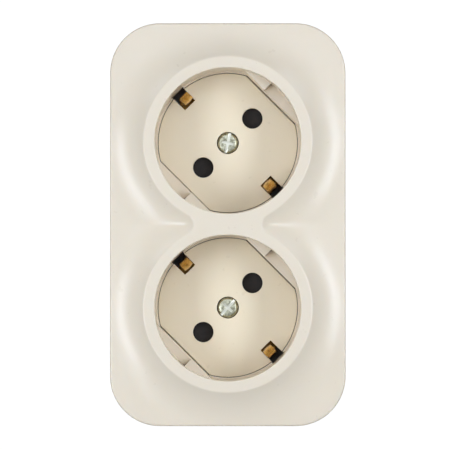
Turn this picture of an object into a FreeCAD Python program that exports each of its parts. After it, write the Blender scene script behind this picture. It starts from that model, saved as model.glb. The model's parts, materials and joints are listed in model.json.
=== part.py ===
"""Surface-mounted double wall socket, upper and lower well, millimetres.

Frame: +X right, +Z up, the wall is the plane Y = 0 and the front faces -Y.
Every depth below is a distance in front of the wall, so a depth d lies at Y = -d.
Each well has its own frame: local +X runs through the pins, local +Z through the earth clips.
"""
import FreeCAD, Part
import math
import os

import Sketcher

SIZES = {
    # outline of the front cover and of the wall box behind it
    "cover_width": 63.55, "cover_height": 108.75, "corner_radius": 13.5,
    "box_width": 64.1, "box_height": 109.3, "box_depth": 16.0,
    "seam_gap": 0.3, "skirt_wall": 2.0, "edge_chamfer": 0.6,
    # the two wells
    "pitch": 45.0, "ring_radius": 22.7, "well_radius": 19.65, "tube_radius": 21.6,
    "ring_front": 42.0, "well_depth": 17.5,
    # relief of the cover: a hollow slope round the rings and a web between them
    "neck_half_width": 9.1, "slope_start_deg": 41.0, "slope_run": 11.5, "blend": 1.4,
    "relief_margin": 1.2,
    "ceiling": 35.6, "tube_end": 20.6,
    # floor insert
    "disc_radius": 19.0, "disc_gap": 0.15, "flat_gap": 0.25, "disc_back": 22.3, "flat_half": 16.5,
    "ledge_radius": 16.0, "boss_radius": 3.2, "boss_end": 17.6,
    "pin_offset": 9.5, "pin_hole_radius": 2.8, "notch_inner": 14.6, "notch_width": 3.9,
    "recess_radius": 3.0, "recess_depth": 1.5,
    # guide blocks beside the floor
    "guide_high": 36.5, "guide_low": 32.0, "guide_mid": 34.0, "guide_edge": 2.85,
    # shutter and its spring
    "shutter_front": 22.0, "shutter_back": 20.4, "hub_radius": 5.2, "vane_radius": 13.2,
    "vane_half": 4.3, "vane_root": 1.6, "spring_radius": 4.4, "wire_radius": 0.25,
    # carrier of the contacts
    "carrier_front": 17.4, "carrier_back": 5.2, "carrier_half": 14.0, "carrier_side": 8.5,
    "floor": 2.2, "bore_radius": 4.0, "post_radius": 3.6,
    "peg_x": 12.2, "peg_z": 6.7, "peg_radius": 1.7,
    # current bars
    "bar_back": 3.2, "bar_thick": 1.0, "bar_half": 3.0, "tulip_radius": 3.1,
    "tulip_bore": 2.35, "tulip_front": 16.6, "tulip_slit": 0.8, "terminal_reach": 20.0,
    # earth bridge and clips
    "bridge_back": 8.0, "bridge_thick": 1.2, "bridge_half": 4.0, "bridge_end": 17.4,
    "collar_radius": 2.6, "collar_back": 6.2,
    "clip_width": 2.85, "clip_shift": 0.375, "clip_radius": 18.05, "clip_thick": 0.6, "clip_root": 5.0,
    "clip_bend": 24.0, "clip_contact": 31.2, "clip_inset": 2.4, "clip_tip": 34.6,
    # screws
    "screw_radius": 1.45, "head_radius": 2.75, "head_front": 24.75, "head_back": 23.15,
    "screw_tip": 5.2, "slot_width": 0.75, "slot_deep": 0.8, "cross_half": 1.6, "cross_deep": 1.1,
    "term_radius": 1.7, "term_head": 3.2, "term_head_high": 2.3, "plate_half": 4.0,
    "plate_thick": 1.2, "plate_gap": 0.3,
    # fixings and cable way of the wall box
    "fix_x": 16.0, "fix_z": 45.0, "fix_radius": 2.2, "cable_depth": 8.0,
    "cable_hole": 5.0, "cable_bore": 4.1, "grommet_flange": 5.7, "score_width": 0.7, "score_depth": 0.8,
    "inner_rim": 2.6, "rim_wall": 1.5, "pad_high": 1.2, "pad_wide": 2.0,
    "diag": round(math.sqrt(0.5), 6),
}

# poles of the relief's even grid, about 1 mm apart
POLES_ACROSS, POLES_UP = 64, 108

doc = FreeCAD.newDocument("double_socket")
sheet = doc.addObject("Spreadsheet::Sheet", "Sizes")
NODES = []


def fill_sheet():
    for row, (alias, value) in enumerate(SIZES.items(), start=1):
        sheet.set(f"A{row}", alias)
        sheet.set(f"B{row}", str(value))
        sheet.setAlias(f"B{row}", alias)
    doc.recompute()


def expr(text):
    """Write sheet names short: {name} becomes Sizes.name."""
    return str(text).replace("{", "Sizes.").replace("}", "")


def value(text):
    """The number an expression gives now."""
    result = sheet.evalExpression(expr(text))
    return float(getattr(result, "Value", result))


# ---------------------------------------------------------------- sketches and features
class Piece:
    """A PartDesign body built from sketches whose sizes come from the sheet."""

    def __init__(self, name, node=True):
        self.body = doc.addObject("PartDesign::Body", name)
        self.body.Label = name
        self.count = 0
        if node:
            NODES.append(self.body)

    def sketch(self, plane, offset):
        self.count += 1
        sketch = self.body.newObject("Sketcher::SketchObject", f"{self.body.Name}_sketch{self.count}")
        support = [f for f in self.body.Origin.OriginFeatures if f.Role == plane][0]
        sketch.AttachmentSupport = [(support, "")]
        sketch.MapMode = "FlatFace"
        sketch.setExpression("AttachmentOffset.Base.z", expr(offset))
        return sketch

    def feature(self, kind, sketch):
        feature = self.body.newObject(f"PartDesign::{kind}", f"{self.body.Name}_{kind}{self.count}")
        feature.Profile = sketch
        sketch.Visibility = False
        return feature

    def pad(self, shapes, back, front, plane="XZ_Plane", taper=None):
        """Material between two depths (or two offsets along the plane's normal)."""
        sketch = self.sketch(plane, back)
        draw(sketch, shapes)
        pad = self.feature("Pad", sketch)
        pad.setExpression("Length", expr(f"({front})-({back})"))
        if taper is not None:
            pad.TaperAngle = taper
        self.recompute(pad)

    def pocket(self, shapes, back, front, plane="XZ_Plane"):
        """Cut everything between two depths (or offsets), starting at the front one."""
        before = volume(self.body)
        sketch = self.sketch(plane, front)
        draw(sketch, shapes)
        pocket = self.feature("Pocket", sketch)
        pocket.setExpression("Length", expr(f"({front})-({back})"))
        self.recompute(pocket)
        if volume(self.body) >= before - 1e-6:
            raise RuntimeError(f"{self.body.Name}: pocket {self.count} cuts nothing")

    def revolve(self, profile):
        """Turn a profile of (radius, depth) corners about the local Y axis."""
        sketch = self.sketch("XY_Plane", "0")
        draw(sketch, [("polygon", [(radius, f"-({depth})") for radius, depth in profile])])
        turned = self.feature("Revolution", sketch)
        turned.ReferenceAxis = (sketch, ["V_Axis"])
        turned.Angle = 360
        self.recompute(turned)

    def recompute(self, feature):
        doc.recompute()
        if "Invalid" in feature.State or feature.Shape.isNull():
            raise RuntimeError(f"{feature.Name}: {feature.State}")

    def place(self, x="0", z="0", turn=0.0):
        put(self.body, x, z, turn)


def put(thing, x="0", z="0", turn=0.0):
    """Move a finished thing to (x, z) and turn it anticlockwise as seen from the front."""
    thing.Placement = FreeCAD.Placement(
        FreeCAD.Vector(value(x), 0, value(z)),
        FreeCAD.Rotation(FreeCAD.Vector(0, -1, 0), turn))
    thing.setExpression("Placement.Base.x", expr(x))
    thing.setExpression("Placement.Base.z", expr(z))


def volume(body):
    return body.Shape.Volume if body.Shape and not body.Shape.isNull() else 0.0


def pin_down(sketch, geometry, point, x, z):
    """Tie one point of a sketch to two expressions; None leaves that direction alone."""
    for kind, text in (("DistanceX", x), ("DistanceY", z)):
        if text is None:
            continue
        index = sketch.addConstraint(Sketcher.Constraint(kind, -1, 1, geometry, point, value(text)))
        sketch.setExpression(f"Constraints[{index}]", expr(text))


def draw(sketch, shapes):
    for shape in shapes:
        if shape[0] == "circle":
            draw_circle(sketch, *shape[1:])
        elif shape[0] == "polygon":
            draw_polygon(sketch, shape[1])
        else:
            draw_rounded(sketch, *shape[1:])


def draw_circle(sketch, x, z, radius):
    centre = FreeCAD.Vector(value(x), value(z), 0)
    circle = sketch.addGeometry(Part.Circle(centre, FreeCAD.Vector(0, 0, 1), value(radius)))
    pin_down(sketch, circle, 3, x, z)
    index = sketch.addConstraint(Sketcher.Constraint("Radius", circle, value(radius)))
    sketch.setExpression(f"Constraints[{index}]", expr(radius))


def draw_polygon(sketch, corners):
    points = [FreeCAD.Vector(value(x), value(z), 0) for x, z in corners]
    total = len(points)
    sides = [sketch.addGeometry(Part.LineSegment(points[i], points[(i + 1) % total]))
             for i in range(total)]
    for i, (x, z) in enumerate(corners):
        sketch.addConstraint(Sketcher.Constraint("Coincident", sides[i - 1], 2, sides[i], 1))
        pin_down(sketch, sides[i], 1, x, z)


def draw_rounded(sketch, width, height, radius):
    """A rectangle centred on the origin with round corners, each point tied to the sheet."""
    half_w, half_h, rad = f"(({width})/2)", f"(({height})/2)", f"({radius})"
    arcs = []
    for index, (sx, sz) in enumerate(((1, 1), (-1, 1), (-1, -1), (1, -1))):
        cx, cz = f"{sx}*({half_w}-{rad})", f"{sz}*({half_h}-{rad})"
        centre = FreeCAD.Vector(value(cx), value(cz), 0)
        circle = Part.Circle(centre, FreeCAD.Vector(0, 0, 1), value(rad))
        start = index * math.pi / 2
        arc = sketch.addGeometry(Part.ArcOfCircle(circle, start, start + math.pi / 2))
        pin_down(sketch, arc, 3, cx, cz)
        arcs.append((arc, cx, cz))
    ends = ((1, 0), (0, 1), (-1, 0), (0, -1))
    for index, (arc, cx, cz) in enumerate(arcs):
        start, end = ends[index], ends[(index + 1) % 4]
        pin_down(sketch, arc, 1, f"{cx}+{start[0]}*{rad}", f"{cz}+{start[1]}*{rad}")
        if end[0] == 0:
            pin_down(sketch, arc, 2, cx, None)
        else:
            pin_down(sketch, arc, 2, None, cz)
    for index in range(4):
        arc, after = arcs[index], arcs[(index + 1) % 4]
        towards = ends[(index + 1) % 4]
        line = sketch.addGeometry(Part.LineSegment(arc_end(arc, towards, rad), arc_end(after, towards, rad)))
        sketch.addConstraint(Sketcher.Constraint("Coincident", line, 1, arc[0], 2))
        sketch.addConstraint(Sketcher.Constraint("Coincident", line, 2, after[0], 1))


def arc_end(arc, direction, rad):
    _, cx, cz = arc
    return FreeCAD.Vector(value(f"{cx}+{direction[0]}*{rad}"), value(f"{cz}+{direction[1]}*{rad}"), 0)


def rect(x_low, x_high, z_low, z_high):
    return ("polygon", [(x_low, z_low), (x_high, z_low), (x_high, z_high), (x_low, z_high)])


def circle(x, z, radius):
    return ("circle", x, z, radius)


def turned(x, z, centre_z):
    """A point of a well's own frame as expressions in the common frame."""
    return (f"(({x})-({z}))*{{diag}}", f"(({x})+({z}))*{{diag}}+({centre_z})")


# ---------------------------------------------------------------- front cover
def slope_height(distance):
    """How far the surface has dropped at a distance outside the rings' outline."""
    start = math.radians(value("{slope_start_deg}"))
    run = value("{slope_run}")
    radius = run / math.sin(start)
    if distance <= 0:
        return distance * math.tan(start)
    left = max(run - distance, 0.0)
    full = radius * (1 - math.cos(start))
    return full - (radius - math.sqrt(radius * radius - left * left))


def outline_distance(x, z, half_pitch, ring, neck, fillet):
    """Distance outside the outline of two rings joined by a web with round inner corners."""
    x, z = abs(x), abs(z)
    to_ring = math.hypot(x, z - half_pitch) - ring
    inside_web = z * neck < half_pitch * (neck - x)
    if not inside_web:
        return to_ring
    return fillet - math.hypot(x - neck, z)


def soft_stencil(reach):
    """Offsets and weights of a soft round average: the centre and two rings of eight points."""
    points = [(0.0, 0.0, 0.28)]
    for share, weight in ((0.6, 0.07), (1.2, 0.02)):
        for step in range(8):
            angle = step * math.pi / 4
            points.append((reach * share * math.cos(angle), reach * share * math.sin(angle), weight))
    return points


def spread(count):
    """Knots of an even cubic spline over 0 to 1, and where each of its poles belongs."""
    spans = count - 3
    knots = [i / spans for i in range(spans + 1)]
    full = [0.0] * 3 + knots + [1.0] * 3
    places = [sum(full[i + 1:i + 4]) / 3 for i in range(count)]
    return knots, [4] + [1] * (spans - 1) + [4], places


def relief_solid():
    """The front surface as one smooth face, thickened backwards."""
    half_pitch, ring = value("{pitch}/2"), value("{ring_radius}")
    half_neck, blend = value("{neck_half_width}"), value("{blend}")
    fillet = (half_neck ** 2 + half_pitch ** 2 - ring ** 2) / (2 * (ring - half_neck))
    neck = half_neck + fillet
    stencil = soft_stencil(blend)
    half_x = value("{cover_width}/2+{relief_margin}")
    half_z = value("{cover_height}/2+{relief_margin}")
    knots_x, mults_x, places_x = spread(POLES_ACROSS)
    knots_z, mults_z, places_z = spread(POLES_UP)
    poles = []
    for place_x in places_x:
        x = half_x * (2 * place_x - 1)
        row = []
        for place_z in places_z:
            z = half_z * (2 * place_z - 1)
            drop = sum(w * slope_height(outline_distance(x + dx, z + dz, half_pitch, ring, neck, fillet))
                       for dx, dz, w in stencil)
            row.append(FreeCAD.Vector(x, drop - value("{ring_front}"), z))
        poles.append(row)
    surface = Part.BSplineSurface()
    surface.buildFromPolesMultsKnots(poles, mults_x, mults_z, knots_x, knots_z, False, False, 3, 3)
    relief = doc.addObject("Part::Feature", "cover_relief")
    relief.Shape = surface.toShape().extrude(FreeCAD.Vector(0, value("{ring_front}"), 0))
    return relief


def cover_outline():
    """Side walls, then a sloping edge that runs on clear above the relief."""
    piece = Piece("cover_outline", node=False)
    shape = [("rounded", "{cover_width}", "{cover_height}", "{corner_radius}")]
    plate_drop = slope_height(value("{slope_run}"))
    edge = f"{{ring_front}}-{plate_drop:.4f}-{{edge_chamfer}}"
    piece.pad(shape, "{box_depth}+{seam_gap}", edge)
    piece.pad(shape, edge, "{ring_front}", taper=-45)
    return piece.body


def cover_hollow():
    """The space behind the front wall, round the two well tubes."""
    piece = Piece("cover_hollow", node=False)
    inner = [("rounded", "{cover_width}-2*{skirt_wall}", "{cover_height}-2*{skirt_wall}",
              "{corner_radius}-{skirt_wall}")]
    piece.pad(inner, "{box_depth}-1", "{ceiling}")
    tubes = [circle("0", f"{sign}*{{pitch}}/2", "{tube_radius}") for sign in (1, -1)]
    piece.pocket(tubes, "{tube_end}", "{ceiling}")
    return piece.body


def well_void(name, centre_z):
    """What is cut for one well: the plug's space, the seat of the floor and the clip slots."""
    piece = Piece(name, node=False)
    floor = "{ring_front}-{well_depth}"
    piece.pad([circle("0", "0", "{well_radius}")], floor, "{ring_front}+1")
    outside = "({well_radius}+1.4)"
    for side in (1, -1):
        steps = [("{disc_back}", outside), ("{guide_high}", outside), ("{guide_high}", "{guide_edge}"),
                 ("{guide_low}", "{guide_edge}"), ("{guide_mid}", "-{guide_edge}"),
                 ("{guide_mid}", f"-{outside}"), ("{disc_back}", f"-{outside}")]
        corners = [(f"-({depth})", f"{side}*({z})") for depth, z in steps]
        near = "{flat_half}+{flat_gap}"
        offsets = (near, outside) if side == 1 else (f"-{outside}", f"-({near})")
        piece.pocket([("polygon", corners)], *offsets, plane="YZ_Plane")
    piece.pad([circle("0", "0", "{disc_radius}+{disc_gap}")], "{disc_back}-0.1", floor)
    piece.pad([circle("0", "0", "{ledge_radius}")], "{tube_end}-1", "{disc_back}-0.1")
    slot = "({notch_width}/2+0.15)"
    for side in (1, -1):
        z_pair = ["{ledge_radius}-3", "{disc_radius}+0.6"]
        z_low, z_high = z_pair if side == 1 else [f"-({z_pair[1]})", f"-({z_pair[0]})"]
        piece.pad([rect(f"-{slot}", slot, z_low, z_high)], "{tube_end}-1", floor)
    piece.place("0", centre_z, 45)
    return piece.body


def cover():
    core = doc.addObject("Part::Common", "cover_core")
    core.Base = relief_solid()
    core.Tool = cover_outline()
    last = core
    tools = [cover_hollow(), well_void("upper_void", "{pitch}/2"), well_void("lower_void", "-{pitch}/2")]
    for tool in tools:
        opened = doc.addObject("Part::Cut", f"cover_less_{tool.Name}")
        opened.Base = last
        opened.Tool = tool
        last = opened
    last.Label = "front_cover"
    doc.recompute()
    NODES.append(last)


# ---------------------------------------------------------------- one socket
def socket_insert(name, centre_z):
    piece = Piece(name)
    floor = "{ring_front}-{well_depth}"
    piece.pad([circle("0", "0", "{disc_radius}")], "{disc_back}", floor)
    piece.pad([circle("0", "0", "{boss_radius}")], "{boss_end}", "{disc_back}")
    cuts = [rect("{flat_half}", "20", "-20", "20"), rect("-20", "-{flat_half}", "-20", "20")]
    piece.pocket(cuts, "{disc_back}", floor)
    piece.pocket([circle("{pin_offset}", "0", "{pin_hole_radius}"),
                  circle("-{pin_offset}", "0", "{pin_hole_radius}")], "{disc_back}", floor)
    half = "{notch_width}/2"
    piece.pocket([rect(f"-{half}", half, "{notch_inner}", "20"),
                  rect(f"-{half}", half, "-20", "-{notch_inner}")], "{disc_back}", floor)
    piece.pocket([circle("0", "0", "{screw_radius}+0.25")], "{boss_end}", floor)
    piece.pocket([circle("0", "0", "{recess_radius}")], f"{floor}-{{recess_depth}}", floor)
    piece.place("0", centre_z, 45)


def shutter(name, centre_z):
    piece = Piece(name)
    back, front = "{shutter_back}", "{shutter_front}"
    piece.pad([circle("0", "0", "{hub_radius}")], back, front)
    tip_x = "{vane_radius}*0.945"
    for side in (1, -1):
        vane = [(f"{side}*4", "-{vane_root}"), (f"{side}*{tip_x}", "-{vane_half}"),
                (f"{side}*{{vane_radius}}", "0"), (f"{side}*{tip_x}", "{vane_half}"),
                (f"{side}*4", "{vane_root}")]
        piece.pad([("polygon", vane)], back, front)
    piece.pocket([circle("0", "0", "{boss_radius}+0.06")], back, front)
    piece.place("0", centre_z, 45)


def shutter_spring(name, centre_z):
    """Two open turns of round wire round the boss, behind the shutter."""
    piece = Piece(name)
    sketch = piece.sketch("XY_Plane", "0")
    draw(sketch, [circle("{spring_radius}", "-({carrier_front}+0.5)", "{wire_radius}")])
    coil = piece.feature("AdditiveHelix", sketch)
    coil.ReferenceAxis = (sketch, ["V_Axis"])
    coil.Mode = 0
    coil.Pitch = 0.7
    coil.Height = 1.75
    coil.Reversed = True
    piece.recompute(coil)
    piece.place("0", centre_z, 20)


def carrier(name, centre_z):
    piece = Piece(name)
    back, front = "{carrier_back}", "{carrier_front}"
    piece.pad([rect("-{carrier_half}", "{carrier_half}", "-{carrier_side}", "{carrier_side}")], back, front)
    piece.pad([circle("0", "0", "{post_radius}")], "{floor}", back)
    piece.pad([circle("{peg_x}", "-{peg_z}", "{peg_radius}"), circle("-{peg_x}", "{peg_z}", "{peg_radius}")],
              "{floor}", back)
    piece.pocket([circle("{pin_offset}", "0", "{bore_radius}"),
                  circle("-{pin_offset}", "0", "{bore_radius}")], back, front)
    piece.pocket([rect("-({bridge_half}+0.2)", "{bridge_half}+0.2", "-9", "9")], "{bridge_back}", front)
    piece.pocket([circle("0", "0", "{collar_radius}+0.1")], "{floor}", "{bridge_back}")
    piece.place("0", centre_z, 45)


def cover_screw(name, centre_z, turn):
    piece = Piece(name)
    piece.revolve([("0", "{screw_tip}"), ("{screw_radius}-0.4", "{screw_tip}"),
                   ("{screw_radius}", "{screw_tip}+0.5"), ("{screw_radius}", "{head_back}"),
                   ("{head_radius}", "{head_back}"), ("{head_radius}", "{head_front}-0.6"),
                   ("{head_radius}-0.45", "{head_front}-0.12"), ("{head_radius}-1.2", "{head_front}"),
                   ("0", "{head_front}")])
    half = "{slot_width}/2"
    above = "{head_front}+0.2"
    across = "({head_radius}+0.25)"
    piece.pocket([rect(f"-{half}", half, f"-{across}", across)], "{head_front}-{slot_deep}", above)
    piece.pocket([rect("-{cross_half}", "{cross_half}", f"-{half}", half)], "{head_front}-{cross_deep}", above)
    piece.place("0", centre_z, turn)


def earth_clip(name, centre_z, turn):
    """A bent strip: upright through the floor, leaning in to touch the plug, flared at its tip."""
    piece = Piece(name)
    outer = [("{clip_radius}", "{clip_root}"), ("{clip_radius}", "{clip_bend}"),
             ("{clip_radius}-{clip_inset}", "{clip_contact}"), ("{clip_radius}-0.6", "{clip_tip}")]
    inner = [("{clip_radius}-0.6-{clip_thick}", "{clip_tip}+0.2"),
             ("{clip_radius}-{clip_inset}-{clip_thick}-0.1", "{clip_contact}"),
             ("{clip_radius}-{clip_thick}", "{clip_bend}-0.1"), ("{clip_radius}-{clip_thick}", "{clip_root}")]
    profile = [(f"-({depth})", radius) for radius, depth in outer + inner]
    piece.pad([("polygon", profile)], "{clip_shift}-{clip_width}/2", "{clip_shift}+{clip_width}/2",
              plane="YZ_Plane")
    piece.place("0", centre_z, turn)


# ---------------------------------------------------------------- current bars, earth bridge, terminals
def current_bar(name, turn):
    piece = Piece(name)
    pin_x = "{pin_offset}*{diag}"
    pins = [f"{pin_x}+{{pitch}}/2", f"{pin_x}-{{pitch}}/2"]
    back, front = "{bar_back}", "{bar_back}+{bar_thick}"
    strip = rect(f"{pin_x}-{{bar_half}}", f"{pin_x}+{{bar_half}}",
                 f"{pins[1]}-{{bar_half}}-0.4", f"{pins[0]}+{{bar_half}}+0.4")
    piece.pad([strip], back, front)
    piece.pad([rect(pin_x, "{terminal_reach}+{plate_half}", "-{plate_half}", "{plate_half}")], back, front)
    piece.pad([circle(pin_x, z, "{tulip_radius}") for z in pins], back, "{tulip_front}")
    piece.pocket([circle(pin_x, z, "{tulip_bore}") for z in pins], back, "{tulip_front}")
    half = "{tulip_slit}/2"
    slits = [rect(f"{pin_x}-4", f"{pin_x}+4", f"{z}-{half}", f"{z}+{half}") for z in pins]
    piece.pocket(slits, f"{front}+1", "{tulip_front}")
    piece.pocket([circle("{terminal_reach}", "0", "{term_radius}+0.05")], back, front)
    piece.place("0", "0", turn)


def contact_springs(name, side):
    """Open steel rings that squeeze the two leaves of each contact, one per well."""
    rings = []
    for tag, sign in (("a", 1), ("b", -1)):
        piece = Piece(f"{name}_{tag}", node=False)
        back, front = "{tulip_front}-4.4", "{tulip_front}-2.4"
        piece.pad([circle("0", "0", "{tulip_radius}+0.55")], back, front)
        piece.pocket([circle("0", "0", "{tulip_radius}")], back, front)
        piece.pocket([rect("-0.9", "0.9", "2", "5")], back, front)
        piece.place(f"{side}*{{pin_offset}}*{{diag}}",
                    f"{side}*{{pin_offset}}*{{diag}}+{sign}*{{pitch}}/2")
        rings.append(piece.body)
    group = doc.addObject("Part::Compound", name)
    group.Label = name
    group.Links = rings
    doc.recompute()
    NODES.append(group)


def earth_bridge(name):
    piece = Piece(name)
    back, front = "{bridge_back}", "{bridge_back}+{bridge_thick}"
    for sign in (1, -1):
        centre_z = f"{sign}*{{pitch}}/2"
        corners = [turned(f"{a}*{{bridge_half}}", f"{b}*{{bridge_end}}", centre_z)
                   for a, b in ((-1, -1), (1, -1), (1, 1), (-1, 1))]
        piece.pad([("polygon", corners)], back, front)
    for sign in (1, -1):
        for end in (1, -1):
            lip = [turned(f"{a}*{{clip_width}}/2", f"{end}*({{bridge_end}}-{b})", f"{sign}*{{pitch}}/2")
                   for a, b in ((-1, 1), (1, 1), (1, 0), (-1, 0))]
            piece.pad([("polygon", lip)], back, "{bridge_back}+4")
    # a diagonal link joins the two straps just inside their facing ends
    link = [("11.8", "11.1"), ("8.0", "14.1"), ("-11.8", "-11.1"), ("-8.0", "-14.1")]
    piece.pad([("polygon", link)], back, front)
    piece.pad([rect("-{plate_half}-0.5", "{plate_half}+0.5", "-{plate_half}", "{plate_half}")], back, front)
    piece.pad([circle("0", f"{sign}*{{pitch}}/2", "{collar_radius}") for sign in (1, -1)],
              "{collar_back}", back)
    piece.pocket([circle("0", f"{sign}*{{pitch}}/2", "{screw_radius}+0.05") for sign in (1, -1)],
                 "{collar_back}", front)
    piece.pocket([circle("0", "0", "{term_radius}+0.05")], back, front)


def terminal(name, centre_x, seat):
    """A square clamp plate under a slotted screw; the seat is the bar's front face."""
    plate = Piece(f"{name}_clamp_plate")
    low = f"({seat})+{{plate_gap}}"
    high = f"{low}+{{plate_thick}}"
    plate.pad([rect("-{plate_half}", "{plate_half}", "-{plate_half}", "{plate_half}")], low, high)
    plate.pocket([circle("0", "0", "{term_radius}+0.05")], low, high)
    plate.place(centre_x, "0")
    screw = Piece(f"{name}_terminal_screw")
    top = f"{high}+0.05+{{term_head_high}}"
    tip = f"({seat})-{{bar_thick}}-0.7"
    screw.revolve([("0", tip), ("{term_radius}-0.4", tip), ("{term_radius}", f"{tip}+0.4"),
                   ("{term_radius}", f"{high}+0.05"), ("{term_head}", f"{high}+0.05"),
                   ("{term_head}", f"{top}-0.3"), ("{term_head}-0.3", top), ("0", top)])
    screw.pocket([rect("-0.5", "0.5", "-4", "4")], f"{top}-1.2", f"{top}+0.1")
    screw.place(centre_x, "0", 30)


# ---------------------------------------------------------------- wall box
def wall_box(name):
    piece = Piece(name)
    piece.pad([("rounded", "{box_width}", "{box_height}", "{corner_radius}+0.3")], "0", "{box_depth}")
    rim_inset = "2*({skirt_wall}+0.3)"
    piece.pad([("rounded", f"{{cover_width}}-{rim_inset}", f"{{cover_height}}-{rim_inset}",
                "{corner_radius}-{skirt_wall}-0.3")], "0", "{box_depth}+{inner_rim}")
    piece.pocket([("rounded", f"{{cover_width}}-{rim_inset}-2*{{rim_wall}}",
                   f"{{cover_height}}-{rim_inset}-2*{{rim_wall}}",
                   "{corner_radius}-{skirt_wall}-0.3-{rim_wall}")], "{floor}", "{box_depth}+{inner_rim}")
    spots = [(f"{sx}*{{fix_x}}", f"{sz}*{{fix_z}}") for sx in (1, -1) for sz in (1, -1)]
    piece.pad([circle(x, z, "{fix_radius}+{pad_wide}") for x, z in spots], "{floor}", "{floor}+{pad_high}")
    piece.pocket([circle(x, z, "{fix_radius}") for x, z in spots], "0", "{floor}+{pad_high}")
    piece.pocket([circle("0", "-{cable_depth}", "{cable_hole}")], "{box_height}/2-6",
                 "{box_height}/2+1", plane="XY_Plane")
    groove(piece)


def groove(piece):
    """A ring scored into the bottom wall, to be knocked out for a second cable."""
    sketch = piece.sketch("XY_Plane", "-{box_height}/2")
    draw(sketch, [circle("0", "-{cable_depth}", "{cable_hole}"),
                  circle("0", "-{cable_depth}", "{cable_hole}-{score_width}")])
    cut = piece.feature("Pocket", sketch)
    cut.Reversed = True
    cut.setExpression("Length", expr("{score_depth}"))
    piece.recompute(cut)


def cable_grommet(name):
    piece = Piece(name)
    wall_in = "{cover_height}/2-{skirt_wall}-1.8"
    piece.pad([circle("0", "-{cable_depth}", "{grommet_flange}")], f"{wall_in}-1.1", f"{wall_in}-0.05",
              plane="XY_Plane")
    piece.pad([circle("0", "-{cable_depth}", "{cable_hole}-0.02")], f"{wall_in}-0.05",
              "{box_height}/2", plane="XY_Plane")
    piece.pocket([circle("0", "-{cable_depth}", "{cable_bore}")], f"{wall_in}-1.1",
                 "{box_height}/2", plane="XY_Plane")


def build():
    fill_sheet()
    wall_box("wall_box")
    cover()
    for name, centre_z, slot_turn in (("upper", "{pitch}/2", -13), ("lower", "-{pitch}/2", -43)):
        socket_insert(f"{name}_insert", centre_z)
        shutter(f"{name}_shutter", centre_z)
        shutter_spring(f"{name}_shutter_spring", centre_z)
        carrier(f"{name}_contact_carrier", centre_z)
        cover_screw(f"{name}_cover_screw", centre_z, slot_turn)
        earth_clip(f"{name}_earth_clip_a", centre_z, 45)
        earth_clip(f"{name}_earth_clip_b", centre_z, 225)
    current_bar("line_bar", 0)
    current_bar("neutral_bar", 180)
    contact_springs("line_contact_springs", 1)
    contact_springs("neutral_contact_springs", -1)
    earth_bridge("earth_bridge")
    seat = "{bar_back}+{bar_thick}"
    terminal("line", "{terminal_reach}", seat)
    terminal("neutral", "-{terminal_reach}", seat)
    terminal("earth", "0", "{bridge_back}+{bridge_thick}")
    cable_grommet("cable_grommet")
    doc.recompute()


def export():
    for thing in doc.Objects:
        if "Invalid" in thing.State or "Error" in thing.State:
            raise RuntimeError(f"{thing.Label}: {thing.State}")
    os.makedirs("parts", exist_ok=True)
    for node in NODES:
        if node.Shape.isNull() or not node.Shape.isValid():
            raise RuntimeError(f"{node.Label}: bad shape")
        node.Shape.exportStep(f"parts/{node.Label}.step")
        print(f"{node.Label:26s} {len(node.Shape.Solids)} solid  {node.Shape.Volume:10.2f} mm3")


build()
export()
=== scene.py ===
"""Looks of a surface-mounted double wall socket, put round its CAD frame.

Metres, +X right, +Z up, the wall is the plane Y = 0 and the front faces -Y.
"""
import json
import math

import bmesh
import bpy
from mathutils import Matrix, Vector

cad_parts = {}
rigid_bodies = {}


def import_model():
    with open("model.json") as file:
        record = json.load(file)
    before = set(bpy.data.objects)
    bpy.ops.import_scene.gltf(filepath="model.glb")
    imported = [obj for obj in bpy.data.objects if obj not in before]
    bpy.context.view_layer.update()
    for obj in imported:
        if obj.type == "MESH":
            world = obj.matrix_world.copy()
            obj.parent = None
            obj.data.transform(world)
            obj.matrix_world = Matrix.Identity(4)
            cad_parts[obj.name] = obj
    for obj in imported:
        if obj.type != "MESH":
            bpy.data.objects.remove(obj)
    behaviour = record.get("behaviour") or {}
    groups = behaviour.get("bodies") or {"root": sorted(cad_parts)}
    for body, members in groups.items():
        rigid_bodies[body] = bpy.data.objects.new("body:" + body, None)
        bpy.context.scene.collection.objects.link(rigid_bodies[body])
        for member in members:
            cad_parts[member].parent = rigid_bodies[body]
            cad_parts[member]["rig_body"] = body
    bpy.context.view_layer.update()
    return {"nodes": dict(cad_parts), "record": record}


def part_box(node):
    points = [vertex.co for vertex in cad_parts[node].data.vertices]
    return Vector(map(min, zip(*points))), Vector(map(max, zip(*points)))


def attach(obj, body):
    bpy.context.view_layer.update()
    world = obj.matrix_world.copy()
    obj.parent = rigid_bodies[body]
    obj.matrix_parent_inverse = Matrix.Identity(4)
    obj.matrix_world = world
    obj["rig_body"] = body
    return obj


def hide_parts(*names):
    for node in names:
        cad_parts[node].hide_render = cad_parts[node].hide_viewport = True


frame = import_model()

# ---------------------------------------------------------------- sizes
NODES = frame["nodes"]

MM = 0.001
COVER_LOW, COVER_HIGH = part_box("front_cover")
FRONT = -COVER_LOW.y
HALF_X, HALF_Z = COVER_HIGH.x, COVER_HIGH.z
INSERT_LOW, INSERT_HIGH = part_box("upper_insert")
WELL_Z = (INSERT_LOW.z + INSERT_HIGH.z) / 2

# the cover's relief: a hollow slope round two flat rings that a web joins
CORNER = 13.5 * MM
WELL = 19.65 * MM
RING = 22.7 * MM
NECK_HALF = 9.1 * MM
SLOPE_START = math.radians(41)
SLOPE_RUN = 11.5 * MM
BLEND = 1.4 * MM
MOUTH_ROUND = 0.3 * MM
RIM_ROUND = 0.55 * MM
CREST = 0.32 * MM
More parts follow.
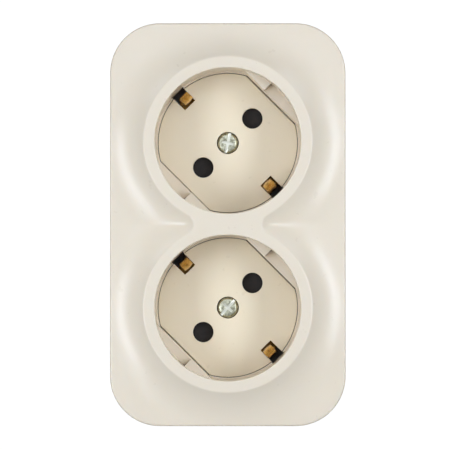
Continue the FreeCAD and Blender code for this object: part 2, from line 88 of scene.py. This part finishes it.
# hollow corner between a ring and the web: its radius, and how far its centre lies from the middle
INNER_CORNER = (NECK_HALF ** 2 + WELL_Z ** 2 - RING ** 2) / (2 * (RING - NECK_HALF))
NECK = NECK_HALF + INNER_CORNER
EDGE_ROUND = 0.12 * MM
WELD_REACH = 0.002 * MM


# ---------------------------------------------------------------- shape of the relief
def slope_drop(distance):
    """How far the slope has dropped at a distance outside the rings' outline."""
    radius = SLOPE_RUN / math.sin(SLOPE_START)
    if distance <= 0:
        return distance * math.tan(SLOPE_START)
    left = max(SLOPE_RUN - distance, 0.0)
    return radius * (1 - math.cos(SLOPE_START)) - (radius - math.sqrt(radius * radius - left * left))


def outline_distance(x, z):
    """Distance outside the outline of the two rings and their web."""
    x, z = abs(x), abs(z)
    if z * NECK < WELL_Z * (NECK - x):
        return INNER_CORNER - math.hypot(x - NECK, z)
    return math.hypot(x, z - WELL_Z) - RING


# places round a point, with weights that add up to 1, over which the relief is averaged
MIDDLE_WEIGHT = 0.28
SPOKES = 8
NEAR_RING, FAR_RING = (0.6 * BLEND, 0.07), (1.2 * BLEND, 0.02)
STENCIL = [(0.0, 0.0, MIDDLE_WEIGHT)] + [
    (reach * math.cos(math.tau * spoke / SPOKES), reach * math.sin(math.tau * spoke / SPOKES), weight)
    for reach, weight in (NEAR_RING, FAR_RING) for spoke in range(SPOKES)]


def drop(x, z):
    """Drop below the rings' flat front, with the crease softened and the crest rounded."""
    raw = sum(weight * slope_drop(outline_distance(x + dx, z + dz)) for dx, dz, weight in STENCIL)
    soft = CREST * math.tan(SLOPE_START)
    if raw <= -soft:
        return 0.0
    if raw >= soft:
        return raw
    return (raw + soft) ** 2 / (4 * soft)


def on_relief(x, z):
    """The point of the front over a place."""
    return Vector((x, drop(x, z) - FRONT, z))


# ---------------------------------------------------------------- front skin of the cover
# rows of points over the crest, in shares of its width, and down the slope, closer near the crest
CREST_ROWS = [-1, -0.65, -0.3, 0, 0.3, 0.65, 1]
SLOPE_COUNT = 14
SLOPE_ROWS = [(row / SLOPE_COUNT) ** 1.1 for row in range(1, SLOPE_COUNT + 1)]
# rays over each part of a quarter of the front
WEB_RAYS, MIDDLE_RAYS, RIM_RAYS, CORNER_RAYS = 14, 12, 64, 16
RIM_STEPS, MOUTH_STEPS = 5, 4
HALVINGS = 50


def ring_point(angle, radius):
    """A point round the upper well; the angle counts from straight down towards +X."""
    return radius * math.sin(angle), WELL_Z - radius * math.cos(angle)


def rim_distance(x, z):
    """Signed distance of a point outside the cover's round-cornered outline."""
    past_x, past_z = abs(x) - (HALF_X - CORNER), abs(z) - (HALF_Z - CORNER)
    return math.hypot(max(past_x, 0), max(past_z, 0)) + min(max(past_x, past_z), 0) - CORNER


def rim_hit(angle):
    """Where a ray from the upper well's axis meets the outline, drawn in by the rim's rounding."""
    near, far = RING, 3 * HALF_Z
    for _ in range(HALVINGS):
        middle = (near + far) / 2
        if rim_distance(*ring_point(angle, middle)) < -RIM_ROUND:
            near = middle
        else:
            far = middle
    return near


def rim_normal(x, z):
    """Direction straight out of the cover's outline on the right side."""
    past_x, past_z = x - (HALF_X - CORNER), abs(z) - (HALF_Z - CORNER)
    if past_x > 0 and past_z > 0:
        length = math.hypot(past_x, past_z)
        return past_x / length, past_z / length
    return (1.0, 0.0) if past_x > past_z else (0.0, 1.0)


def slope_rows(point_at, reach):
    """Points of one ray from the crest outwards; point_at(d) lies d outside the rings' outline."""
    distances = [row * CREST for row in CREST_ROWS]
    distances += [CREST + (reach - CREST) * share for share in SLOPE_ROWS]
    return [on_relief(*point_at(distance)) for distance in distances]


def ring_ray(angle, reach):
    """Points of one ray from a well's mouth over its ring and down the slope."""
    return mouth_rows(angle) + slope_rows(lambda distance: ring_point(angle, RING + distance), reach)


def corner_ray(angle):
    """Points of one ray from the web into the hollow corner beside it."""
    def point_at(distance):
        radius = INNER_CORNER - distance
        return NECK - radius * math.cos(angle), radius * math.sin(angle)
    return slope_rows(point_at, INNER_CORNER)


def rim_rows(x, z):
    """The quarter round from the plate down to the side wall."""
    base = on_relief(x, z)
    nx, nz = rim_normal(x, z)
    rows = []
    for step in range(1, RIM_STEPS + 1):
        turn = math.pi / 2 * step / RIM_STEPS
        out, down = RIM_ROUND * math.sin(turn), RIM_ROUND * (1 - math.cos(turn))
        rows.append(base + Vector((nx * out, down, nz * out)))
    return rows


def mouth_rows(angle):
    """The quarter round from the well's wall up to the ring's flat front."""
    rows = []
    for step in range(MOUTH_STEPS + 1):
        turn = math.pi / 2 * step / MOUTH_STEPS
        radius = WELL + MOUTH_ROUND * (1 - math.cos(turn))
        x, z = ring_point(angle, radius)
        rows.append(Vector((x, -FRONT + MOUTH_ROUND * (1 - math.sin(turn)), z)))
    return rows


def spaced(first, last, count):
    """Evenly spaced values, with both ends."""
    return [first + (last - first) * step / count for step in range(count + 1)]


def quarter_of_skin():
    """Faces of the upper right quarter of the front, as lists of points."""
    neck_turn = math.atan2(NECK, WELL_Z)
    side_turn = math.atan2(HALF_X - RIM_ROUND, WELL_Z)
    web_mouth = [mouth_rows(angle) for angle in spaced(0, neck_turn, WEB_RAYS)]
    corner = [corner_ray(angle) for angle in spaced(math.atan2(WELL_Z, NECK), 0, CORNER_RAYS)]
    to_middle = [ring_ray(angle, WELL_Z / math.cos(angle) - RING)
                 for angle in spaced(neck_turn, side_turn, MIDDLE_RAYS)]
    to_rim = []
    for angle in spaced(side_turn, math.pi, RIM_RAYS):
        hit = rim_hit(angle)
        to_rim.append(ring_ray(angle, hit - RING) + rim_rows(*ring_point(angle, hit)))

    faces = []
    for rays in (web_mouth, to_middle, to_rim, corner):
        add_grid(faces, rays)
    faces.append([rows[-1] for rows in web_mouth] + [ray[0] for ray in corner] + [Vector((0, -FRONT, 0))])
    return faces


def add_grid(faces, rays):
    """Add the four-sided faces between each ray and the next."""
    for ray, after in zip(rays, rays[1:]):
        for row in range(len(ray) - 1):
            faces.append([ray[row], ray[row + 1], after[row + 1], after[row]])


def add_skin(mesh):
    """Put the quarter into the mesh four times over and join it along its edges."""
    made = []
    for sx in (1, -1):
        for sz in (1, -1):
            for face in quarter_of_skin():
                points = [mesh.verts.new((p.x * sx, p.y, p.z * sz)) for p in face]
                made.append(mesh.faces.new(points if sx * sz < 0 else points[::-1]))
    corners = list({corner for face in made for corner in face.verts})
    bmesh.ops.remove_doubles(mesh, verts=corners, dist=WELD_REACH)
    bmesh.ops.dissolve_degenerate(mesh, edges=mesh.edges[:], dist=0.0001 * MM)


def well_distance(place):
    """Distance from the axis of the nearer well."""
    return math.hypot(place.x, abs(place.z) - WELL_Z)


def is_front_face(face, behind):
    """True for the CAD front, false for the side walls and for the walls of the wells."""
    heights = [-corner.co.y for corner in face.verts]
    radii = [well_distance(corner.co) for corner in face.verts]
    same_radius = len({round(radius, 5) for radius in radii}) == 1
    on_well_wall = same_radius and max(heights) > min(heights) + MM
    return min(heights) > behind and min(radii) > WELL - 0.01 * MM and not on_well_wall


def cover_shell():
    """The cover with its front rebuilt as an even skin on the CAD walls."""
    mesh = bmesh.new()
    mesh.from_mesh(NODES["front_cover"].data)
    bmesh.ops.remove_doubles(mesh, verts=mesh.verts[:], dist=WELD_REACH)
    chamfer_foot = FRONT - slope_drop(SLOPE_RUN) - 0.65 * MM
    front = [face for face in mesh.faces if is_front_face(face, chamfer_foot)]
    bmesh.ops.delete(mesh, geom=front, context="FACES")
    for corner in mesh.verts:
        if -corner.co.y > FRONT - 0.001 * MM:
            corner.co.y = -(FRONT - MOUTH_ROUND - 0.05 * MM)
    add_skin(mesh)
    join_loops(mesh)
    return finished_mesh("cover_shell", mesh)


def loop_name(edge):
    """Which of the three open loops an edge belongs to: the rim or one of the two mouths."""
    middle = (edge.verts[0].co + edge.verts[1].co) / 2
    if well_distance(middle) >= RING:
        return "rim"
    return "upper" if middle.z > 0 else "lower"


def join_loops(mesh):
    """Bridge the skin's open edges to the walls' open edges, one place at a time."""
    for wanted in ("rim", "upper", "lower"):
        loop = [edge for edge in mesh.edges if edge.is_boundary and loop_name(edge) == wanted]
        bmesh.ops.bridge_loops(mesh, edges=loop)


def finished_mesh(name, mesh, sharp=32):
    """A shown object from a bmesh, smooth but for the edges sharper than an angle."""
    bmesh.ops.recalc_face_normals(mesh, faces=mesh.faces[:])
    for face in mesh.faces:
        face.smooth = True
    for edge in mesh.edges:
        edge.smooth = edge.is_manifold and edge.calc_face_angle(0) < math.radians(sharp)
    data = bpy.data.meshes.new(name)
    mesh.to_mesh(data)
    mesh.free()
    shown = bpy.data.objects.new(name, data)
    bpy.context.scene.collection.objects.link(shown)
    even = shown.modifiers.new("even normals", "WEIGHTED_NORMAL")
    even.keep_sharp = True
    even.weight = 100
    return shown


# ---------------------------------------------------------------- materials
# the third colour is painted shade, the dark brown laid into tight gaps and corners where shade falls
IVORY, WARM_IVORY, GAP_SHADE_BROWN = (0.86, 0.75, 0.585), (0.88, 0.772, 0.575), (0.10, 0.055, 0.025)
# the second colour is the moulding's plastic, made this dark as painted shade for what shows down the clip
# slots
SHUTTER_BLACK, MOULDING_SHADE_BLACK, RUBBER_BLACK = (0.014, 0.010, 0.008), (0.05, 0.04, 0.032), (0.05, 0.05, 0.05)
ZINC, STEEL = (0.62, 0.61, 0.57), (0.55, 0.55, 0.56)
BRASS, DULL_BRASS = (0.72, 0.44, 0.13), (0.50, 0.28, 0.08)
HEAD_ZINC, HEAD_DARK, HEAD_LIGHT = (0.50, 0.48, 0.33), (0.30, 0.29, 0.20), (0.66, 0.64, 0.47)
# painted reflection: the lighter colour of the screws' slot floors
SLOT_PAINTED_REFLECTION = (0.88, 0.86, 0.72)
BLACK, WHITE = (0, 0, 0), (1, 1, 1)
# the painted gap shade: how far walls count as closing a place in, and how closed it must be before it is
# shaded
SHADE_REACH = 1.2 * MM
GAP_SHADE_SHARES = 0.12, 0.42     # how open a wall's surroundings are: in a tight gap, in an open corner
SLOT_SHARES = 0.026, 0.034  # shares of a screw's length: the last of its face, the floors of its slots


class Finish:
    """A Principled material with helpers for the nodes that vary it."""

    def __init__(self, name, colour, roughness, metallic=0.0):
        self.made = bpy.data.materials.new(name)
        self.made.use_nodes = True
        self.tree = self.made.node_tree
        self.shader = self.tree.nodes["Principled BSDF"]
        self.shader.inputs["Base Color"].default_value = (*colour, 1)
        self.shader.inputs["Roughness"].default_value = roughness
        self.shader.inputs["Metallic"].default_value = metallic
        coordinates = self.tree.nodes.new("ShaderNodeTexCoord").outputs
        self.place, self.generated = coordinates["Object"], coordinates["Generated"]

    def link(self, source, target):
        self.tree.links.new(source, target)

    def noise(self, scale, detail=3.0, stretch=(1, 1, 1)):
        """A cloud pattern, with the scale in clouds per metre."""
        stretched = self.tree.nodes.new("ShaderNodeMapping")
        stretched.inputs["Scale"].default_value = stretch
        self.link(self.place, stretched.inputs["Vector"])
        noise = self.tree.nodes.new("ShaderNodeTexNoise")
        noise.inputs["Scale"].default_value = scale
        noise.inputs["Detail"].default_value = detail
        self.link(stretched.outputs["Vector"], noise.inputs["Vector"])
        return noise.outputs["Fac"]

    def ramp(self, source, low, high, start=0.35, end=0.65):
        """One colour below the start value and another above the end value."""
        ramp = self.tree.nodes.new("ShaderNodeValToRGB")
        ramp.color_ramp.elements[0].position, ramp.color_ramp.elements[1].position = start, end
        ramp.color_ramp.elements[0].color, ramp.color_ramp.elements[1].color = (*low, 1), (*high, 1)
        self.link(source, ramp.inputs["Fac"])
        return ramp.outputs["Color"]

    def mix(self, share, first, second_colour):
        """The first socket's colour, giving way to a plain colour where the share is high."""
        blend = self.tree.nodes.new("ShaderNodeMix")
        blend.data_type = "RGBA"
        self.link(share, blend.inputs[0])
        self.link(first, blend.inputs[6])
        blend.inputs[7].default_value = (*second_colour, 1)
        return blend.outputs[2]

    def vary_colour(self, source, low, high):
        self.link(self.ramp(source, low, high), self.shader.inputs["Base Color"])

    def paint_gap_shade(self, source, low, high, shade_colour):
        """As vary_colour, with painted shade: dark brown where two walls stand close together."""
        near = self.tree.nodes.new("ShaderNodeAmbientOcclusion")
        near.samples = 8
        near.inputs["Distance"].default_value = SHADE_REACH
        # painted shade: the share of the dark brown grows where nearby walls hide the place
        painted_shade_share = self.ramp(near.outputs["AO"], WHITE, BLACK, *GAP_SHADE_SHARES)
        clouded = self.ramp(source, low, high)
        self.link(self.mix(painted_shade_share, clouded, shade_colour), self.shader.inputs["Base Color"])

    def vary_roughness(self, source, low, high):
        spread = self.tree.nodes.new("ShaderNodeMapRange")
        spread.inputs["To Min"].default_value = low
        spread.inputs["To Max"].default_value = high
        self.link(source, spread.inputs["Value"])
        self.link(spread.outputs["Result"], self.shader.inputs["Roughness"])

    def bump(self, source, height, strength=1.0):
        bump = self.tree.nodes.new("ShaderNodeBump")
        bump.inputs["Strength"].default_value = strength
        bump.inputs["Distance"].default_value = height
        self.link(source, bump.inputs["Height"])
        self.link(bump.outputs["Normal"], self.shader.inputs["Normal"])


def scaled(colour, factor):
    """The colour, lighter or darker."""
    return tuple(channel * factor for channel in colour)


def ivory(name, colour, roughness=0.28):
    """Satin moulded plastic: faint clouding, a fine grain, painted shade in tight gaps and corners, and a
    little light carried inside.
    """
    finish = Finish(name, colour, roughness)
    # clouded colour with painted shade in gaps and corners
    finish.paint_gap_shade(finish.noise(60), scaled(colour, 0.993), scaled(colour, 1.004), GAP_SHADE_BROWN)
    finish.vary_roughness(finish.noise(400), roughness - 0.015, roughness + 0.015)
    finish.bump(finish.noise(3500, 2), 0.003 * MM, 0.4)
    finish.shader.inputs["Subsurface Weight"].default_value = 0.15
    finish.shader.inputs["Subsurface Radius"].default_value = (1.0, 0.7, 0.4)
    finish.shader.inputs["Subsurface Scale"].default_value = 0.6 * MM
    return finish.made


def dark_shutter():
    """Dull black plastic with little gloss."""
    finish = Finish("dark_shutter", SHUTTER_BLACK, 0.6)
    finish.shader.inputs["Specular IOR Level"].default_value = 0.35
    finish.vary_colour(finish.noise(500), scaled(SHUTTER_BLACK, 0.8), scaled(SHUTTER_BLACK, 1.35))
    finish.bump(finish.noise(2600), 0.006 * MM)
    return finish.made


def shade_dark_moulding():
    """Pressed brown-black insulating plastic, made this dark as painted shade for what shows down the clip
    slots.
    """
    finish = Finish("shade_dark_moulding", MOULDING_SHADE_BLACK, 0.5)
    finish.vary_colour(finish.noise(200), scaled(MOULDING_SHADE_BLACK, 0.92), scaled(MOULDING_SHADE_BLACK, 1.06))
    finish.bump(finish.noise(1800), 0.01 * MM)
    return finish.made


def metal(name, colour, roughness, grain=(1, 1, 1)):
    """Plated or rolled metal: drawn grain, patches of tarnish and uneven gloss."""
    finish = Finish(name, colour, roughness, 1.0)
    finish.vary_colour(finish.noise(700, 4), scaled(colour, 0.78), scaled(colour, 1.08))
    finish.vary_roughness(finish.noise(900, 4), roughness * 0.7, roughness * 1.35)
    finish.bump(finish.noise(1500, 3, grain), 0.012 * MM)
    return finish.made


def screw_head():
    """Zinc plate, dulled on the face of the head, with a painted reflection: a lighter colour on the floors
    of its slots.
    """
    finish = Finish("zinc_screw_head", HEAD_ZINC, 0.34, 1.0)
    along = finish.tree.nodes.new("ShaderNodeSeparateXYZ")
    finish.link(finish.generated, along.inputs["Vector"])
    blotches = finish.ramp(finish.noise(1300, 4), HEAD_DARK, HEAD_LIGHT, 0.38, 0.62)
    # painted reflection: the lighter colour from the floors of the slots backwards
    painted_reflection_share = finish.ramp(along.outputs["Y"], BLACK, WHITE, *SLOT_SHARES)
    finish.link(finish.mix(painted_reflection_share, blotches, SLOT_PAINTED_REFLECTION), finish.shader.inputs["Base Color"])
    finish.vary_roughness(finish.noise(1500, 3), 0.26, 0.46)
    finish.bump(finish.noise(1100, 3), 0.05 * MM)
    return finish.made


def soft_rubber():
    """Matt black rubber."""
    finish = Finish("soft_rubber", RUBBER_BLACK, 0.7)
    finish.vary_colour(finish.noise(300), scaled(RUBBER_BLACK, 0.85), scaled(RUBBER_BLACK, 1.2))
    finish.bump(finish.noise(2200), 0.015 * MM)
    return finish.made


def dress():
    """Give every CAD node its finish; returns the finish of each material slot."""
    looks = {
        "ivory_plastic": ivory("ivory_moulding", IVORY),
        "black_plastic": dark_shutter(),
        "dark_plastic": shade_dark_moulding(),
        "spring_steel": metal("spring_steel_wire", STEEL, 0.28),
        "zinc_plated_steel": metal("zinc_plate", ZINC, 0.3),
        "brass": metal("rolled_brass", BRASS, 0.24, grain=(1, 0.1, 1)),
        "rubber": soft_rubber(),
    }
    slots = {part["node"]: part["material_slot"] for part in frame["record"]["subparts"]}
    finishes = {name: looks[slots[name]] for name in NODES}
    finishes["upper_insert"] = finishes["lower_insert"] = ivory("warm_ivory_moulding", WARM_IVORY)
    finishes["upper_cover_screw"] = finishes["lower_cover_screw"] = screw_head()
    finishes["earth_bridge"] = metal("dull_brass", DULL_BRASS, 0.38)
    for name, node in NODES.items():
        node.material_slots[0].material = finishes[name]
    return looks


def round_edges(node, width):
    """Weld the faces and round their sharp edges a little."""
    weld = node.modifiers.new("weld", "WELD")
    weld.merge_threshold = 0.001 * MM
    bevel = node.modifiers.new("rounded edges", "BEVEL")
    bevel.width = width
    bevel.segments = 2
    bevel.limit_method = "ANGLE"
    bevel.angle_limit = math.radians(35)
    bevel.use_clamp_overlap = True
    even = node.modifiers.new("even normals", "WEIGHTED_NORMAL")
    even.weight = 100


# ---------------------------------------------------------------- earth clips
CLIP_WIDTH, CLIP_SHIFT, CLIP_THICK = 2.85 * MM, 0.375 * MM, 0.6 * MM
# (radius of the strip's middle, depth) from the root past the bend and the contact to the tip
CLIP_LINE = [(17.75, 5.0), (17.75, 14.0), (17.75, 22.5), (17.35, 25.6), (16.3, 28.6), (15.55, 30.6),
             (15.55, 31.8), (16.1, 33.1), (17.2, 34.5)]
# (share of the half width, height of the pressed rib towards the plug) across the strip
CLIP_ACROSS = [(-1.0, -0.05), (-0.9, 0.0), (-0.52, 0.0), (-0.36, 0.14), (0.36, 0.14), (0.52, 0.0),
               (0.9, 0.0), (1.0, -0.05)]
CLIP_STEPS = 4
TIP_WIDTHS = 0.86, 0.96, 0.99  # shares of the width at the tip and the places before it
RIB_FADE = 4                   # places over which the rib dies away towards the tip


def smooth_line(points, steps):
    """Points of a Catmull-Rom curve through the given ones."""
    line = []
    padded = [points[0]] + points + [points[-1]]
    for a, b, c, d in zip(padded, padded[1:], padded[2:], padded[3:]):
        for step in range(steps):
            share = step / steps
            line.append(0.5 * (2 * b + (c - a) * share + (2 * a - 5 * b + 4 * c - d) * share ** 2
                               + (3 * b - 3 * c + d - a) * share ** 3))
    return line + [points[-1]]


def clip_axes(node_name):
    """The clip's well, the way out from the well's axis and the way across the strip."""
    low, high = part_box(node_name)
    well = Vector((0, 0, math.copysign(WELL_Z, low.z + high.z)))
    middle = (low + high) / 2 - well
    out = Vector((math.copysign(math.sqrt(0.5), middle.x), 0, math.copysign(math.sqrt(0.5), middle.z)))
    return well, out, Vector((out.z, 0, -out.x))


def strip_section(point, run, out, aside, left):
    """Points round the strip at one place of its line, with so many places left to the tip."""
    inward = run.cross(aside).normalized()
    if inward.dot(out) > 0:
        inward = -inward
    narrow = TIP_WIDTHS[left] if left < len(TIP_WIDTHS) else 1.0
    rib_share = min(left / RIB_FADE, 1.0)
    points = []
    for side in (1, -1):
        for share, rib in CLIP_ACROSS[::side]:
            across = CLIP_SHIFT + share * narrow * CLIP_WIDTH / 2
            raised = rib * MM * (rib_share if rib > 0 else side)
            points.append(point + aside * across + inward * (side * CLIP_THICK / 2 + raised))
    return points


def clip_strip(node_name):
    """A pressed spring strip with a rib, in place of a plain bent one."""
    well, out, aside = clip_axes(node_name)
    front = Vector((0, -1, 0))
    line = smooth_line([(out * radius + front * depth) * MM for radius, depth in CLIP_LINE], CLIP_STEPS)
    last = len(line) - 1
    mesh = bmesh.new()
    loops = []
    for place, point in enumerate(line):
        run = (line[min(place + 1, last)] - line[max(place - 1, 0)]).normalized()
        section = strip_section(point, run, out, aside, last - place)
        loops.append([mesh.verts.new(well + corner) for corner in section])
    for loop, after in zip(loops, loops[1:]):
        for corner in range(len(loop)):
            following = (corner + 1) % len(loop)
            mesh.faces.new((loop[corner], loop[following], after[following], after[corner]))
    mesh.faces.new(loops[0])
    mesh.faces.new(loops[-1])
    return finished_mesh(f"{node_name}_strip", mesh, sharp=50)


# ---------------------------------------------------------------- stage, lights and camera
FLOOR_REACH, FLOOR_LEVEL = 1.5, -0.5
BACKDROP_HALF, BACKDROP_AWAY, BACKDROP_GLOW = 0.4, 1.3, 1.05
ROOM_GLOW = 0.13
LAMP_COLOUR = (0.917, 1.0, 1.145)
LENS_MM, SENSOR_MM = 281.6, 36
CAMERA_PLACE, CAMERA_AIM = (0, -0.987, -0.015), (-0.00076, -0.0388, -0.00016)


def emitter(name, strength):
    """A plain white glowing material."""
    made = bpy.data.materials.new(name)
    made.use_nodes = True
    tree = made.node_tree
    tree.nodes.remove(tree.nodes["Principled BSDF"])
    glow = tree.nodes.new("ShaderNodeEmission")
    glow.inputs["Strength"].default_value = strength
    tree.links.new(glow.outputs["Emission"], tree.nodes["Material Output"].inputs["Surface"])
    return made


def plane(name, corners, material):
    """A four-sided sheet of the stage."""
    data = bpy.data.meshes.new(name)
    data.from_pydata(corners, [], [(0, 1, 2, 3)])
    data.materials.append(material)
    sheet = bpy.data.objects.new(name, data)
    bpy.context.scene.collection.objects.link(sheet)


def stage_set():
    """A pale floor, a white backdrop behind the socket and a faint even light from all sides."""
    floor = Finish("pale_floor", (0.85, 0.85, 0.84), 0.6)
    floor.vary_roughness(floor.noise(12), 0.55, 0.7)
    square = ((-1, -1), (1, -1), (1, 1), (-1, 1))
    plane("floor", [(x * FLOOR_REACH, y * FLOOR_REACH, FLOOR_LEVEL) for x, y in square], floor.made)
    plane("backdrop", [(x * BACKDROP_HALF, BACKDROP_AWAY, z * BACKDROP_HALF) for x, z in square],
          emitter("white_backdrop", BACKDROP_GLOW))
    world = bpy.data.worlds.new("pale_room")
    bpy.context.scene.world = world
    world.use_nodes = True
    world.node_tree.nodes["Background"].inputs["Color"].default_value = (*WHITE, 1)
    world.node_tree.nodes["Background"].inputs["Strength"].default_value = ROOM_GLOW


def softbox(name, azimuth, elevation, distance, size, watts):
    """An area lamp that faces the socket; azimuth 0 is straight in front, positive to the right."""
    data = bpy.data.lights.new(name, "AREA")
    data.shape = "RECTANGLE"
    data.size, data.size_y = size
    data.energy = watts
    data.color = LAMP_COLOUR
    lamp = bpy.data.objects.new(name, data)
    bpy.context.scene.collection.objects.link(lamp)
    turn, tilt = math.radians(azimuth), math.radians(elevation)
    towards = Vector((math.sin(turn) * math.cos(tilt), -math.cos(turn) * math.cos(tilt), math.sin(tilt)))
    lamp.location = towards * distance
    lamp.rotation_euler = towards.to_track_quat("Z", "Y").to_euler()


def lights():
    """Two narrow lamps draw the bright crescents beside the wells; broad ones fill in."""
    softbox("left_strip", azimuth=-36.5, elevation=-8, distance=0.4, size=(0.09, 0.23), watts=0.50)
    softbox("right_strip", azimuth=35.5, elevation=2, distance=0.4, size=(0.09, 0.23), watts=0.53)
    softbox("left_high", azimuth=-74, elevation=42, distance=1.0, size=(0.30, 0.45), watts=1.1)
    softbox("right_high", azimuth=72, elevation=42, distance=1.0, size=(0.30, 0.45), watts=1.0)
    softbox("upper_fill", azimuth=0, elevation=34, distance=0.6, size=(0.42, 0.30), watts=0.37)
    softbox("front_fill", azimuth=0, elevation=10, distance=1.3, size=(0.90, 0.50), watts=1.95)
    softbox("low_fill", azimuth=-18, elevation=-18, distance=0.6, size=(0.20, 0.10), watts=0.17)


def camera():
    """A long lens straight in front of the socket."""
    data = bpy.data.cameras.new("camera")
    data.lens = LENS_MM
    data.sensor_width = SENSOR_MM
    data.clip_start, data.clip_end = 0.05, 20
    view = bpy.data.objects.new("camera", data)
    bpy.context.scene.collection.objects.link(view)
    view.location = CAMERA_PLACE
    view.rotation_euler = (Vector(CAMERA_AIM) - view.location).to_track_quat("-Z", "Y").to_euler()
    bpy.context.scene.camera = view


# ---------------------------------------------------------------- the scene
bpy.context.scene.view_settings.view_transform = "Standard"
camera()
stage_set()
lights()
LOOKS = dress()

shell = cover_shell()
shell.data.materials.append(LOOKS["ivory_plastic"])
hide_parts("front_cover")
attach(shell, "cover")

for name, node in NODES.items():
    if name.endswith(("clip_a", "clip_b")):
        strip = clip_strip(name)
        strip.data.materials.append(LOOKS["brass"])
        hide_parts(name)
        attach(strip, node["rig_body"])
    elif name.endswith(("insert", "cover_screw", "shutter")):
        round_edges(node, EDGE_ROUND)
